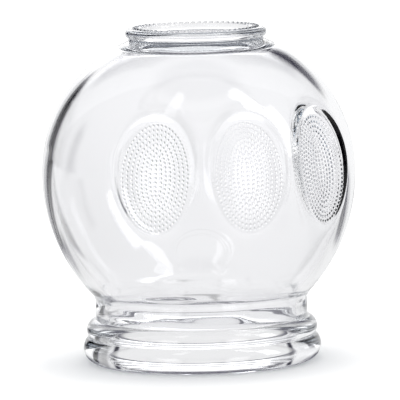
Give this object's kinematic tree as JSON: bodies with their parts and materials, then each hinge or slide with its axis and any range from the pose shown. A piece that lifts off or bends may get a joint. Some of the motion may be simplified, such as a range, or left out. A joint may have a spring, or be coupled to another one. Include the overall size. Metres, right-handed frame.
{
  "type": "cupping glass",
  "caption": "Clear round cupping glass with a beaded mouth, a closed crown with a standing ring, and oval dotted thumb pads.",
  "frame": {"origin": "on the axis of the glass, in the plane of the mouth rim that it stands on", "axes": "+Z along the axis from the mouth to the closed crown; the thumb pads lie at 18 degrees either side of -Y and at 54 degrees from -Y towards +X"},
  "size_m": [0.095, 0.095, 0.1015],
  "materials": {
    "clear_glass": "clear colourless soda-lime glass, pressed and blown, fire polished"
  },
  "bodies": {
    "root": {"mouth_bead": "clear_glass", "collar_bead": "clear_glass", "throat_wall": "clear_glass", "lower_globe_wall": "clear_glass", "upper_globe_wall": "clear_glass", "thumb_pad_left": "clear_glass", "thumb_pad_middle": "clear_glass", "thumb_pad_right": "clear_glass", "crown_disc": "clear_glass", "stand_ring": "clear_glass", "stipple_beads": "clear_glass"}
  },
  "joints": []
}
